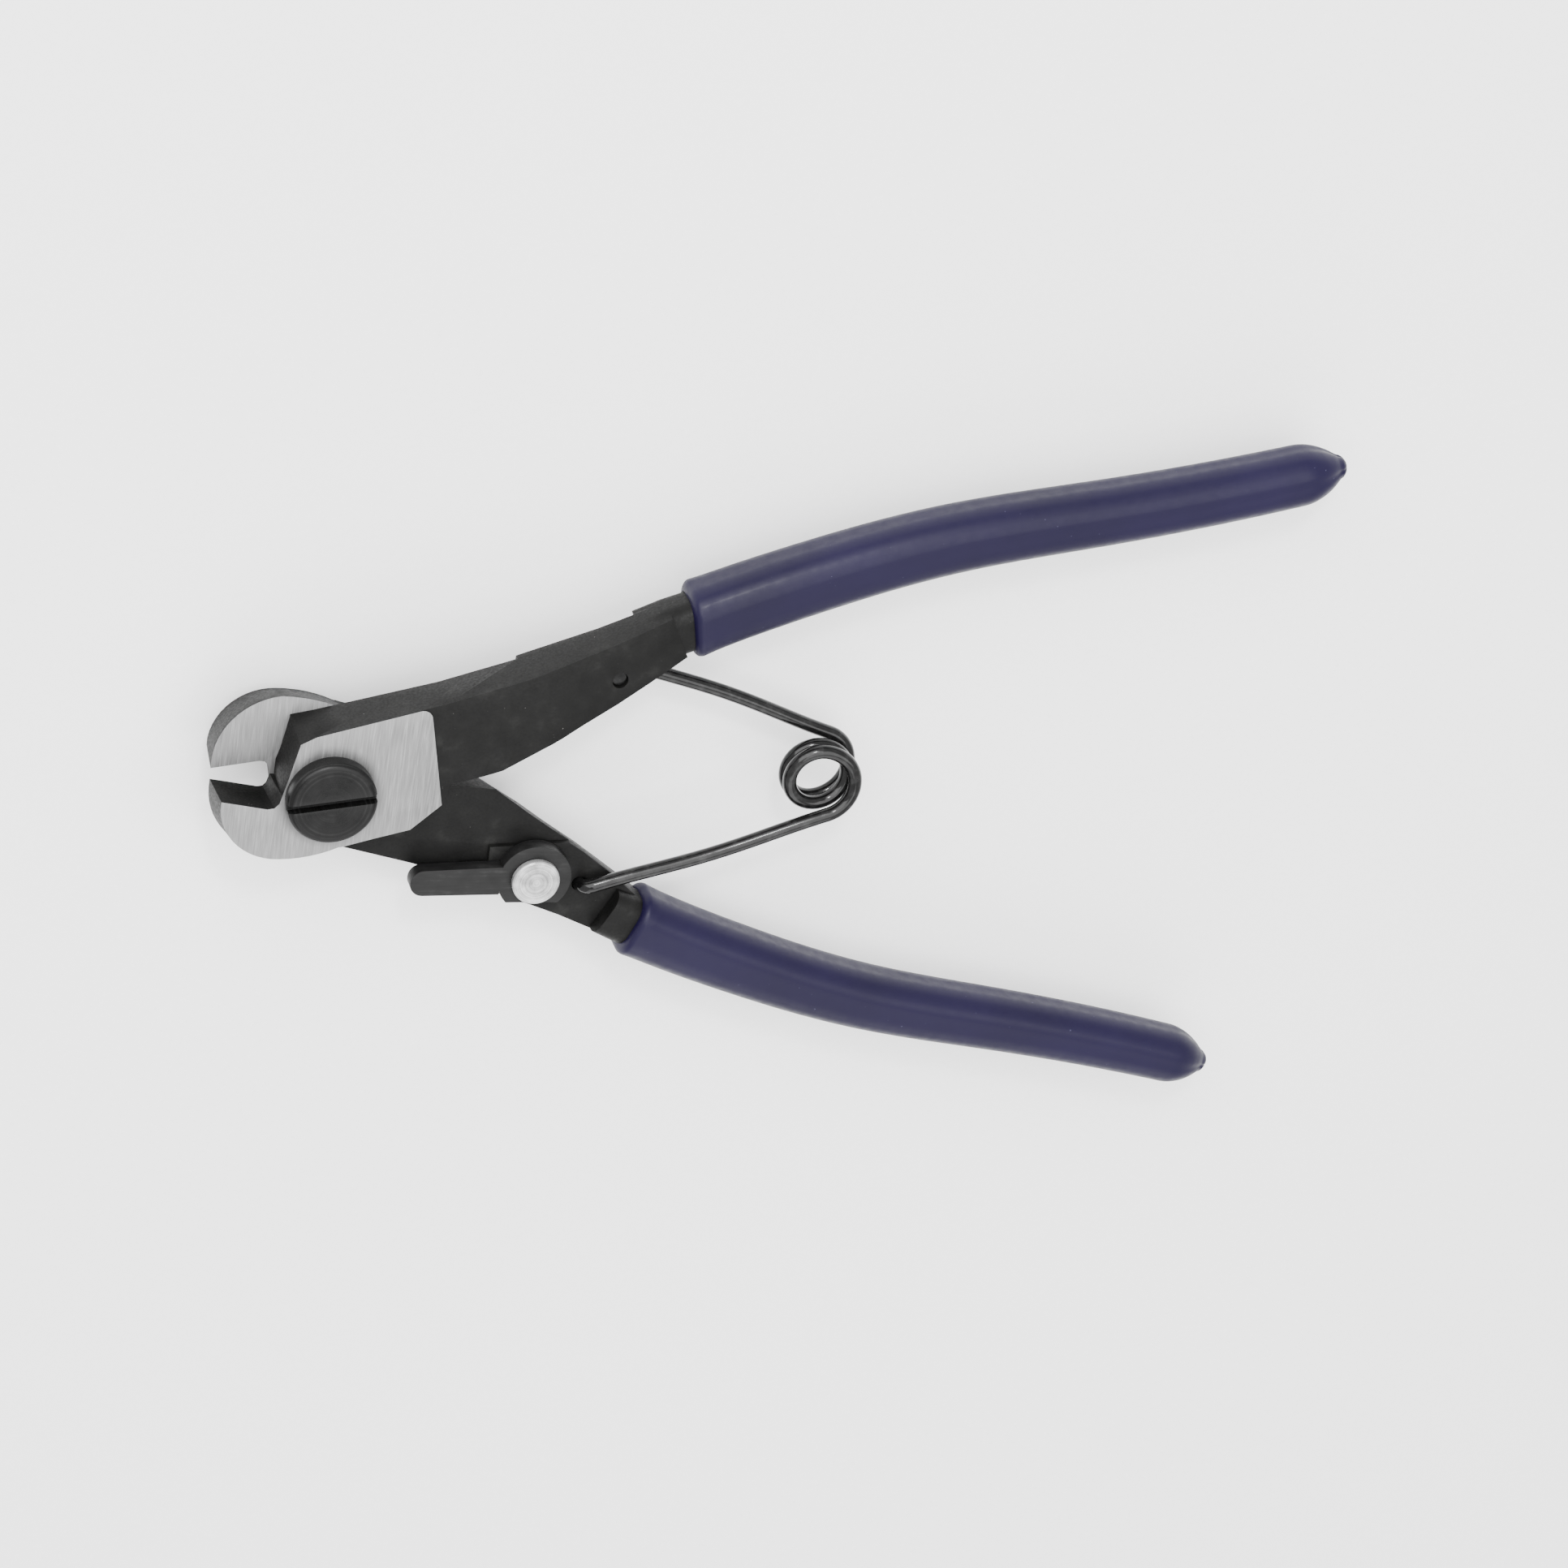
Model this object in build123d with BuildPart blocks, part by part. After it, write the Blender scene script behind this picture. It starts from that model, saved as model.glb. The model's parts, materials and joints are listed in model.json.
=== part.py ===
"""Forged wire-rope cutter, 190 mm class: two crossed levers on a slotted pivot screw, dipped handle
sleeves, a double-arm opening spring and a riveted latch.

Frame: the tool lies on its back, with the nut end of the pivot on the plane Z = 0. The origin is on the
pivot axis at that end, +Z runs along the pivot towards the screw head and +X towards the handles. The
levers are drawn at their open rest position and are the same forging, turned over about the X direction.
"""

import math
import os

from build123d import *

os.makedirs("parts", exist_ok=True)

# Driving dimensions, mm
LAP = 7.0  # thickness of each lever where they cross
LAP_GAP = 0.05  # running gap on each side of the shear plane
BOSS = 0.25  # ground boss standing proud of the forging
NUT_HEIGHT = 3.95
SCREW_HEAD_R = 7.05
SCREW_HEAD_HEIGHT = 2.8
SCREW_SLOT = 1.3
SCREW_SLOT_DEPTH = 1.6
SCREW_SLOT_ANGLE = 8.6
HEAD_ROUND = 0.9
SHANK_R = 4.5
THREAD_R = 3.9
RUNNING = 0.05  # radial clearance of the turning fits
NUT_FLATS = 13.0
NUT_CHAMFER = 0.4
SHOULDER_STEP = 1.0  # rise of the inner face beyond the lap
TANG_WALL = 1.25  # wall of the dipped sleeve
WIRE_R = 1.1
ARM_Z = 2.8  # height of each spring arm off the shear plane
WELD_R = 1.15  # round joint between the arm and its half of the coil
SPRING_TAIL = 4.8  # bent end of the wire, from the shear plane through the lever
HOLE_R = 1.3  # spring holes in the levers
HOLE_X, HOLE_Y = 44.3, 19.7
COIL_X = 81.9
COIL_R = 5.0
BEND_R = 2.0
LATCH_X, LATCH_Y = 36.0, -17.5
LATCH_THICKNESS = 2.4
HUB_R = 6.0
RIVET_R = 2.3
RIVET_HEAD_R = 3.9
RIVET_HEAD_HEIGHT = 1.2
RIVET_ROUND = 0.35
RIVET_TAIL_R = 3.2
RIVET_TAIL_HEIGHT = 0.8

SHEAR = NUT_HEIGHT + LAP_GAP + BOSS + LAP  # height of the shear plane, where the levers meet
FRONT = SHEAR + LAP  # front face of the front lever's forging
BACK = SHEAR - LAP  # rear face of the rear lever's forging

# Outline of one lever in plan, with its jaw below the X axis and its handle above it
FAR = 40.0  # clear of the jaw on every side
NOTCH_LOW = [(-17.5, -0.9), (-10.0, -2.2), (-9.2, -2.1), (-8.7, -1.5), (-7.0, 4.8), (-6.1, 10.3), (-6.1, FAR)]
NOTCH_HIGH = [(-17.5, -0.9), (-9.6, -2.3), (-8.5, -2.1), (-7.8, -1.3), (-6.7, 3.6), (-5.6, 8.9), (-5.6, FAR)]
NOTCH_MOUTH = 2.5  # Y where the cut away corner leaves the tip
NOTCH_CLEAR = 1.0  # the notch starts this far below the lever
JAW_BLUNT = -2.4  # Y of the blunt tip's lower end
JAW_ROOT = 3.0  # X where the jaw has run into the boss
WAIST_BEND = (4.6, 0.5)  # from the jaw's lowest point to the middle of the curve at its waist
WAIST_RISE = 2.4
JAW_INNER = (-17.5, (-14.8, -9.6), (-7.6, -13.6))  # tip X, side point and lowest point, at the shear plane
JAW_OUTER = (-16.9, (-13.7, -8.7), (-6.9, -11.2))  # the same at the outer face
# the edges are drafted: wider at the shear plane than at the outer face
EDGE_END = (51.7, 30.1)
BACK_EDGE_LOW = [(-7.5, 10.2), (-2.5, 11.3), (16.7, 16.4), (29.0, 20.6), (41.5, 25.5), (47.0, 28.0), EDGE_END]
BACK_EDGE_HIGH = [(-7.5, 8.0), (-3.2, 10.4), (16.7, 16.2), (29.0, 20.4), (41.5, 25.2), (47.0, 27.5), (51.7, 29.6)]
INNER_EDGE_LOW = [(55.2, 23.0), (49.0, 17.6), (44.4, 14.0), (39.0, 10.4), (34.5, 7.3), (28.5, 2.9), (24.0, 2.4)]
INNER_EDGE_HIGH = [(55.0, 23.4), (49.0, 19.3), (44.4, 16.0), (39.0, 12.4), (34.5, 9.2), (27.0, 4.4), (24.0, 3.4)]
HEEL = [(18.8, 1.9), (18.1, -1.4), (13.4, -6.0), (7.7, -7.6), (2.7, -9.1), (-7.5, -9.1)]
BOSS_LIMIT = [(-30, -30), (24, -30), (14.2, 15.8), (14.2, 30), (-30, 30)]
BOSS_ROUND = 1.6
STEP_LIMIT = [(29.2, 30), (28.6, 12.9), (39.0, 12.2), (70, 12.2), (70, 40)]
SLOPE_START = (33.0, 15.5)  # where the outer face starts down to the tang
SLOPE_HEADING = (0.87, 0.5, 0)
SLOPE_LENGTH = 30.0
SLOPE_DROP = 3.7
LATCH_TAB = [(30.4, -15.2), (15.7, -15.9), (15.7, -20.4), (30.4, -20.2)]
TAB_ROUND = 2.2
HUB_FLAT = 4.2  # the hub is cut flat this far from the rivet, along the lever's outer edge

# Centre line of one handle in plan
with BuildLine() as handle_line:
    Spline(
        (46.0, 22.7),
        (54.5, 27.0),
        (72.3, 34.5),
        (96.5, 42.5),
        (120.7, 47.5),
        (145.6, 52.9),
        (162.3, 57.2),
    )
HANDLE = handle_line.edges()[0]
HANDLE_LENGTH = HANDLE.length
NECK_START = 3.3  # along the centre line, as are the next three
TANG_START = 8.0
REAR_SLEEVE_START = 8.8
FRONT_SLEEVE_START = 12.1

# Rounded section of the sleeve, as width in plan, thickness and corner radius, at its two ends
GRIP_START = (11.3, 10.6, 4.0)
GRIP_END = (9.3, 9.3, 3.8)
NECK_SECTION = (8.0, 8.4, 2.2)
DOME_LENGTH = 7.5  # rounded closed end of the sleeve
TIP_WALL = 3.0  # plastic beyond the end of the handle
BODY_STATIONS = 6
DOME_STEPS = (0.3, 0.55, 0.75, 0.9, 1.0)  # shares of the dome's length


def section_at(distance, inset):
    """Sleeve section at a distance along the handle, drawn in by a wall."""
    share = distance / HANDLE_LENGTH
    mixed = [start + (end - start) * share for start, end in zip(GRIP_START, GRIP_END)]
    return (mixed[0] - 2 * inset, mixed[1] - 2 * inset, mixed[2] - 0.9 * inset)


def shrunk(section, factor):
    return tuple(size * factor for size in section)


def jaw_outline(height, tip_x, side, low):
    """Rounded outside of a jaw at one height: from the tip round to its waist near the pivot."""
    with BuildSketch(Plane.XY.offset(height)) as outline:
        with BuildLine():
            ThreePointArc((tip_x, JAW_BLUNT), side, low)
            waist = (JAW_ROOT, low[1] + WAIST_RISE)
            ThreePointArc(low, (low[0] + WAIST_BEND[0], low[1] + WAIST_BEND[1]), waist)
            Polyline(waist, (JAW_ROOT, 0.0), (tip_x, 0.0), (tip_x, JAW_BLUNT))
        make_face()
    return outline.sketch


def square_to_handle(distance):
    """Plane square to the handle's centre line, its local X up and its local Z towards the tip."""
    centre = HANDLE.position_at(distance, position_mode=PositionMode.LENGTH)
    heading = HANDLE.tangent_at(distance, position_mode=PositionMode.LENGTH)
    return Plane((centre.X, centre.Y, SHEAR), x_dir=(0, 0, 1), z_dir=heading)


def along_handle(sections):
    """Smooth loft of rounded sections standing square to the handle's centre line."""
    with BuildPart() as body:
        for distance, (width, thickness, corner) in sections:
            with BuildSketch(square_to_handle(distance)):
                RectangleRounded(thickness, width, corner)
        loft()
    return body.part


def covered_handle(inset, start, end):
    """The handle from a start to a domed end, with the sleeve's section drawn in by a wall."""
    body_end = end - DOME_LENGTH
    body = []
    for i in range(BODY_STATIONS):
        distance = start + i / (BODY_STATIONS - 1) * (body_end - start)
        body.append((distance, section_at(distance, inset)))
    last = body[-1][1]
    dome = [body[-1]]
    for step in DOME_STEPS:
        dome.append((body_end + step * DOME_LENGTH, shrunk(last, max(0.12, (1 - step**2.4) ** 0.5))))
    with BuildPart() as whole:
        add(along_handle(body))
        add(along_handle(dome))
    return whole.part


neck = along_handle([(NECK_START, NECK_SECTION), (TANG_START, section_at(TANG_START, TANG_WALL))])
tang = covered_handle(TANG_WALL, TANG_START, HANDLE_LENGTH - TIP_WALL)

# Lever forging, jaw below and handle above, inner face up to the shear plane
with BuildPart() as forging:
    add(jaw_outline(SHEAR + LAP_GAP, *JAW_INNER))
    add(jaw_outline(FRONT, *JAW_OUTER))
    loft(ruled=True)
with BuildPart() as drafted_arm:
    with BuildSketch(Plane.XY.offset(SHEAR + LAP_GAP)):
        with BuildLine():
            Polyline(*BACK_EDGE_LOW, *INNER_EDGE_LOW, *HEEL, close=True)
        make_face()
    with BuildSketch(Plane.XY.offset(FRONT)):
        with BuildLine():
            Polyline(*BACK_EDGE_HIGH, *INNER_EDGE_HIGH, *HEEL, close=True)
        make_face()
    loft(ruled=True)
# cutting notch, open towards the tip and drafted like the edges
with BuildPart() as notch:
    for height, notch_edge in ((SHEAR - NOTCH_CLEAR, NOTCH_LOW), (FRONT + BOSS, NOTCH_HIGH)):
        with BuildSketch(Plane.XY.offset(height)):
            with BuildLine():
                Polyline((-FAR, NOTCH_MOUTH), *notch_edge, (-FAR, FAR), close=True)
            make_face()
    loft(ruled=True)
with forging:
    add(drafted_arm.part)
    # ground boss round the screw and over the jaw
    with BuildSketch(Plane.XY.offset(FRONT)) as boss:
        with BuildLine():
            Polyline(*BACK_EDGE_HIGH, *INNER_EDGE_HIGH, *HEEL, close=True)
        make_face()
        add(jaw_outline(0, *JAW_OUTER))
        with BuildSketch(mode=Mode.INTERSECT):
            with BuildLine():
                Polyline(*BOSS_LIMIT, close=True)
            make_face()
        fillet(boss.vertices().sort_by(Axis.Y)[-2:], BOSS_ROUND)
    extrude(amount=BOSS)
    # raised inner face beyond the lap
    with BuildSketch(Plane.XY.offset(SHEAR - SHOULDER_STEP)):
        with BuildLine():
            Polyline(*BACK_EDGE_LOW, *INNER_EDGE_LOW, *HEEL, close=True)
        make_face()
        with BuildSketch(mode=Mode.INTERSECT):
            with BuildLine():
                Polyline(*STEP_LIMIT, close=True)
            make_face()
    extrude(amount=SHOULDER_STEP + LAP_GAP)
    # outer face slopes down to the tang
    across = (SLOPE_HEADING[1], -SLOPE_HEADING[0], 0)
    slope = Plane((*SLOPE_START, FRONT), x_dir=SLOPE_HEADING, z_dir=across)
    with BuildSketch(slope):
        with BuildLine():
            Polyline((0, 0), (SLOPE_LENGTH, -SLOPE_DROP), (SLOPE_LENGTH, BOSS), (0, BOSS), close=True)
        make_face()
    extrude(amount=SLOPE_LENGTH, both=True, mode=Mode.SUBTRACT)
    add(neck)
    add(tang)
    add(notch.part, mode=Mode.SUBTRACT)
    with Locations((HOLE_X, HOLE_Y, SHEAR)):
        Hole(HOLE_R)

with BuildPart() as front_lever:
    add(forging.part)
    with Locations((0, 0, SHEAR)):
        Hole(SHANK_R)
front_lever.part.label = "front_lever"
export_step(front_lever.part, "parts/front_lever.step")

with BuildPart() as rear_lever:
    with Locations((0, 0, 2 * SHEAR)):
        add(forging.part, rotation=(180, 0, 0))
    with Locations((0, 0, SHEAR)):
        Hole(SHANK_R + RUNNING)
    with Locations((LATCH_X, LATCH_Y, SHEAR)):
        Hole(RIVET_R)
rear_lever.part.label = "rear_lever"
export_step(rear_lever.part, "parts/rear_lever.step")

# Dipped sleeves, open at the lever end and closed over the handle's tip
with BuildPart() as front_handle_sleeve:
    add(covered_handle(0, FRONT_SLEEVE_START, HANDLE_LENGTH))
    add(tang, mode=Mode.SUBTRACT)
front_handle_sleeve.part.label = "front_handle_sleeve"
export_step(front_handle_sleeve.part, "parts/front_handle_sleeve.step")

with BuildPart() as upper_sleeve:
    add(covered_handle(0, REAR_SLEEVE_START, HANDLE_LENGTH))
    add(tang, mode=Mode.SUBTRACT)
with BuildPart() as rear_handle_sleeve:
    with Locations((0, 0, 2 * SHEAR)):
        add(upper_sleeve.part, rotation=(180, 0, 0))
rear_handle_sleeve.part.label = "rear_handle_sleeve"
export_step(rear_handle_sleeve.part, "parts/rear_handle_sleeve.step")

# Pivot screw: slotted head on the front boss, plain shank through both laps, thread for the nut
with BuildPart() as pivot_screw:
    with BuildSketch(Plane.XY.offset(FRONT + BOSS)):
        Circle(SCREW_HEAD_R)
    extrude(amount=SCREW_HEAD_HEIGHT)
    fillet(pivot_screw.faces().sort_by(Axis.Z)[-1].edges(), HEAD_ROUND)
    with BuildSketch(Plane.XY.offset(BACK - BOSS - LAP_GAP)):
        Circle(SHANK_R)
    extrude(amount=2 * (LAP + BOSS) + LAP_GAP)
    with BuildSketch(Plane.XY):
        Circle(THREAD_R)
    extrude(amount=NUT_HEIGHT)
    slot_floor = Plane.XY.offset(FRONT + BOSS + SCREW_HEAD_HEIGHT - SCREW_SLOT_DEPTH)
    with BuildSketch(slot_floor):
        Rectangle(4 * SCREW_HEAD_R, SCREW_SLOT, rotation=SCREW_SLOT_ANGLE)
    extrude(amount=2 * SCREW_SLOT_DEPTH, mode=Mode.SUBTRACT)
pivot_screw.part.label = "pivot_screw"
export_step(pivot_screw.part, "parts/pivot_screw.step")

with BuildPart() as pivot_nut:
    with BuildSketch(Plane.XY):
        RegularPolygon(NUT_FLATS / 2, 6, major_radius=False)
        Circle(THREAD_R, mode=Mode.SUBTRACT)
    extrude(amount=NUT_HEIGHT)
    chamfer(pivot_nut.faces().sort_by(Axis.Z)[0].outer_wire().edges(), NUT_CHAMFER)
pivot_nut.part.label = "pivot_nut"
export_step(pivot_nut.part, "parts/pivot_nut.step")

# Opening spring, in two halves that meet in the middle of the coil
REACH = math.hypot(COIL_X - HOLE_X, HOLE_Y)
ARM_ANGLE = math.degrees(math.atan2(HOLE_Y, COIL_X - HOLE_X) - math.asin(COIL_R / REACH))
LEAVE_ANGLE = 90 - ARM_ANGLE  # where the arm leaves the coil
HALF_TURNS = (360 + LEAVE_ANGLE) / 360
arm_length = math.sqrt(REACH**2 - COIL_R**2)
arm_heading = (math.cos(math.radians(ARM_ANGLE)), -math.sin(math.radians(ARM_ANGLE)), 0)

with BuildPart() as half_coil:
    with BuildLine() as coil_path:
        Helix(pitch=ARM_Z / HALF_TURNS, height=ARM_Z, radius=COIL_R, lefthand=True)
    with BuildSketch(Plane(coil_path.line @ 0, z_dir=coil_path.line % 0)):
        Circle(WIRE_R)
    sweep(path=coil_path.line, is_frenet=True)

with BuildPart() as spring_rear_arm:
    arm_plane = Plane(
        (HOLE_X, HOLE_Y, SHEAR - ARM_Z), x_dir=arm_heading, z_dir=(-arm_heading[1], arm_heading[0], 0)
    )
    with BuildLine(arm_plane) as arm_path:
        FilletPolyline((0, -ARM_Z - SPRING_TAIL), (0, 0), (arm_length, 0), radius=BEND_R)
    with BuildSketch(Plane(arm_path.line @ 0, z_dir=arm_path.line % 0)):
        Circle(WIRE_R)
    sweep(path=arm_path.line)
    with Locations((COIL_X, 0, SHEAR - ARM_Z)):
        add(half_coil.part, rotation=(0, 0, LEAVE_ANGLE))
        with PolarLocations(COIL_R, 1, start_angle=LEAVE_ANGLE):
            Sphere(WELD_R)
spring_rear_arm.part.label = "spring_rear_arm"
export_step(spring_rear_arm.part, "parts/spring_rear_arm.step")

with BuildPart() as spring_front_arm:
    with Locations((0, 0, 2 * SHEAR)):
        add(spring_rear_arm.part, rotation=(180, 0, 0))
spring_front_arm.part.label = "spring_front_arm"
export_step(spring_front_arm.part, "parts/spring_front_arm.step")

# Latch: flat strip with a round hub, turning on its rivet
with BuildPart() as latch_lever:
    with BuildSketch(Plane.XY.offset(SHEAR + SHOULDER_STEP + RUNNING)):
        with Locations((LATCH_X, LATCH_Y)):
            Circle(HUB_R)
        with Locations((LATCH_X, LATCH_Y - HUB_FLAT)):
            Rectangle(4 * HUB_R, HUB_R, align=(Align.CENTER, Align.MAX), mode=Mode.SUBTRACT)
        with BuildLine():
            Polyline(*LATCH_TAB, close=True)
        tab = make_face()
        fillet(tab.vertices().group_by(Axis.X)[0], TAB_ROUND)
        with Locations((LATCH_X, LATCH_Y)):
            Circle(RIVET_R + RUNNING, mode=Mode.SUBTRACT)
    extrude(amount=LATCH_THICKNESS)
latch_lever.part.label = "latch_lever"
export_step(latch_lever.part, "parts/latch_lever.step")

LATCH_TOP = SHEAR + SHOULDER_STEP + RUNNING + LATCH_THICKNESS
with BuildPart() as latch_rivet:
    with BuildSketch(Plane.XY.offset(LATCH_TOP)):
        with Locations((LATCH_X, LATCH_Y)):
            Circle(RIVET_HEAD_R)
    extrude(amount=RIVET_HEAD_HEIGHT)
    fillet(latch_rivet.faces().sort_by(Axis.Z)[-1].edges(), RIVET_ROUND)
    with BuildSketch(Plane.XY.offset(BACK - RIVET_TAIL_HEIGHT)):
        with Locations((LATCH_X, LATCH_Y)):
            Circle(RIVET_TAIL_R)
    extrude(amount=RIVET_TAIL_HEIGHT)
    with BuildSketch(Plane.XY.offset(BACK)):
        with Locations((LATCH_X, LATCH_Y)):
            Circle(RIVET_R)
    extrude(amount=LATCH_TOP - BACK)
latch_rivet.part.label = "latch_rivet"
export_step(latch_rivet.part, "parts/latch_rivet.step")
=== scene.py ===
# %% [markdown]
# # A wire-rope cutter, piece by piece
# The tool is two forged levers that cross on a slotted screw. One end of each lever is a hooked jaw and the
# other is a long tang dipped in blue plastic. A wire spring holds the handles open, and a small latch turns
# on a bright rivet. This lesson loads the engineering model as a fixed frame, and then gives every piece the
# shape and finish that a person holding the tool would see.

# %% Load the frame
import json
import math

import bmesh
import bpy
import numpy as np
from mathutils import Matrix, Vector

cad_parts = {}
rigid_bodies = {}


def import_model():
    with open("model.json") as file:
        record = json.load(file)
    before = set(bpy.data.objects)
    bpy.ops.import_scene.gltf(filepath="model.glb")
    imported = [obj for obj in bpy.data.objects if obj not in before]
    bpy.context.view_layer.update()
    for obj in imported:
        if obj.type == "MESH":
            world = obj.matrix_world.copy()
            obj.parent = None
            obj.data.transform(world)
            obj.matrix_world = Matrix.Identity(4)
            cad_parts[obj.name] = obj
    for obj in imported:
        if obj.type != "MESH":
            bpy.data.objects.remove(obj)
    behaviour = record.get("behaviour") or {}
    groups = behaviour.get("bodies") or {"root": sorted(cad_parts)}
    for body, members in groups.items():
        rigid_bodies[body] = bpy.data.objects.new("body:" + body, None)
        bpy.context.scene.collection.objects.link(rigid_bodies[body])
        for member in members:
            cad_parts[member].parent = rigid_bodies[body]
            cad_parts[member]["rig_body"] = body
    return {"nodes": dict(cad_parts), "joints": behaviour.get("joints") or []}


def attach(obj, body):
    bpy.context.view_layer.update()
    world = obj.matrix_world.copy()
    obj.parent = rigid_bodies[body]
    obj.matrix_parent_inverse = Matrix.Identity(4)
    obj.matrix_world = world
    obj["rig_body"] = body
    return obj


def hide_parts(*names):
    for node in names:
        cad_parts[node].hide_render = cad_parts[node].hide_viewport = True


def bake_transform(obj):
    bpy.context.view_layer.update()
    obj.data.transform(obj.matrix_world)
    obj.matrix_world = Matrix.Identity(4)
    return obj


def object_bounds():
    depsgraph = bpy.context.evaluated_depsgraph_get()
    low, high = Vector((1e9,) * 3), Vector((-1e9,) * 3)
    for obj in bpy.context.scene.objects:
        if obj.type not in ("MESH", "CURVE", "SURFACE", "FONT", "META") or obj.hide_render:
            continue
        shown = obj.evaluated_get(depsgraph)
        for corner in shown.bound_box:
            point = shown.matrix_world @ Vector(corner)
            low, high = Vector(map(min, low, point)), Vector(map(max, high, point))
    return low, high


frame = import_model()
cad_low, cad_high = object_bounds()
MM = 0.001
joints = {joint["name"]: joint for joint in frame["joints"]}
SHEAR = joints["handle_pivot"]["pos_m"][2]  # height at which the two levers meet
print("size in mm:", [round(side / MM, 1) for side in cad_high - cad_low])

# %% [markdown]
# ## Floor, camera and light
# A dark tool needs a pale floor and large, soft lights, because steel shows the room that it reflects. The
# camera stands at the jaw end, above the tool and to its left, and is rolled a little about its own axis. Its
# three axes are worked out from those angles. A long lens keeps the handles from shrinking with distance.

# %% Camera
CAMERA_TURN, CAMERA_TILT, CAMERA_ROLL = (math.radians(angle) for angle in (21.14, 27.86, 10.21))
CAMERA_DISTANCE = 0.7
CAMERA_SHIFT = (0.07206, -0.00164)  # sideways and up, from the pivot, in metres
CAMERA_LENS = 103.24

back = Vector((
    -math.sin(CAMERA_TURN) * math.cos(CAMERA_TILT),
    math.sin(CAMERA_TILT),
    math.cos(CAMERA_TURN) * math.cos(CAMERA_TILT),
))
level_right = Vector((0, 1, 0)).cross(back).normalized()
level_up = back.cross(level_right)
right = math.cos(CAMERA_ROLL) * level_right + math.sin(CAMERA_ROLL) * level_up
up = math.cos(CAMERA_ROLL) * level_up - math.sin(CAMERA_ROLL) * level_right

camera = bpy.data.objects.new("camera", bpy.data.cameras.new("camera"))
bpy.context.scene.collection.objects.link(camera)
camera.matrix_world = Matrix((right, up, back)).transposed().to_4x4()
pivot_point = Vector((0, 0, SHEAR))
camera.location = pivot_point + back * CAMERA_DISTANCE + right * CAMERA_SHIFT[0] + up * CAMERA_SHIFT[1]
camera.data.lens = CAMERA_LENS
camera.data.clip_start = 0.01
bpy.context.scene.camera = camera
print("camera height above the floor in mm:", round(camera.location.z / MM))


# %% Helpers for node trees
def add_node(tree, kind, inputs=None, **settings):
    """A node with its settings and inputs; an input is a value, or the output socket that feeds it."""
    node = tree.nodes.new(kind)
    for name, value in settings.items():
        setattr(node, name, value)
    for name, value in (inputs or {}).items():
        if isinstance(value, bpy.types.NodeSocket):
            tree.links.new(value, node.inputs[name])
        else:
            node.inputs[name].default_value = value
    return node


def new_material(name, **shader_values):
    """A material, its node tree and its shader, with the even values set on the shader's own sockets."""
    material = bpy.data.materials.new(name)
    material.use_nodes = True
    tree = material.node_tree
    shader = tree.nodes["Principled BSDF"]
    for socket, value in shader_values.items():
        shader.inputs[socket.replace("_", " ")].default_value = value
    return material, tree, shader


def object_point(tree):
    return add_node(tree, "ShaderNodeTexCoord").outputs["Object"]


EVEN = (1, 1, 1)  # the stretch of noise that has no grain


def stretched_noise(tree, point, stretch, scale, detail=4.0):
    """Noise over a stretched copy of the point, for grinding lines and brushed grain."""
    mapped = add_node(tree, "ShaderNodeMapping", {"Vector": point, "Scale": stretch})
    sizes = {"Vector": mapped.outputs[0], "Scale": scale, "Detail": detail}
    noise = add_node(tree, "ShaderNodeTexNoise", sizes)
    return noise.outputs["Fac"]


def ramp(tree, value, stops):
    """Colour ramp with (position, grey or colour) stops."""
    node = add_node(tree, "ShaderNodeValToRGB", {"Fac": value})
    elements = node.color_ramp.elements
    while len(elements) < len(stops):
        elements.new(0.5)
    for element, (position, colour) in zip(elements, stops):
        element.position = position
        element.color = (*colour, 1) if isinstance(colour, tuple) else (colour, colour, colour, 1)
    return node.outputs["Color"]


def math_node(tree, operation, first, second=0.0):
    return add_node(tree, "ShaderNodeMath", {0: first, 1: second}, operation=operation).outputs[0]


MIX_FIRST, MIX_SECOND, MIX_RESULT = 6, 7, 2  # the Mix node's colour sockets, which share names with others


def mix_colour(tree, factor, first, second):
    node = add_node(tree, "ShaderNodeMix", {"Factor": factor}, data_type="RGBA")
    for index, value in ((MIX_FIRST, first), (MIX_SECOND, second)):
        if isinstance(value, bpy.types.NodeSocket):
            tree.links.new(value, node.inputs[index])
        else:
            node.inputs[index].default_value = value
    return node.outputs[MIX_RESULT]


def bump(tree, shader, height, strength, distance):
    node = add_node(tree, "ShaderNodeBump", {"Height": height, "Strength": strength, "Distance": distance})
    tree.links.new(node.outputs[0], shader.inputs["Normal"])


print("helpers ready")

# %% Floor, world and lamps
FLOOR_SIZE = 3.0
FLOOR_GAP = 0.02 * MM
floor_mesh = bpy.data.meshes.new("floor")
half = FLOOR_SIZE / 2
floor_mesh.from_pydata(
    [(-half, -half, 0), (half, -half, 0), (half, half, 0), (-half, half, 0)], [], [(0, 1, 2, 3)]
)
floor_mesh.transform(Matrix.Translation((0, 0, cad_low.z - FLOOR_GAP)))
floor = bpy.data.objects.new("floor", floor_mesh)
bpy.context.scene.collection.objects.link(floor)
floor_paper, floor_tree, floor_shader = new_material("floor_paper", Roughness=0.9)
floor_shader.inputs["Specular IOR Level"].default_value = 0.1
floor_fibre = add_node(floor_tree, "ShaderNodeTexNoise", {"Vector": object_point(floor_tree), "Scale": 900.0})
floor_tree.links.new(
    ramp(floor_tree, floor_fibre.outputs["Fac"], [(0.3, 0.93), (0.7, 0.95)]), floor_shader.inputs["Base Color"]
)
floor_mesh.materials.append(floor_paper)

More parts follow.
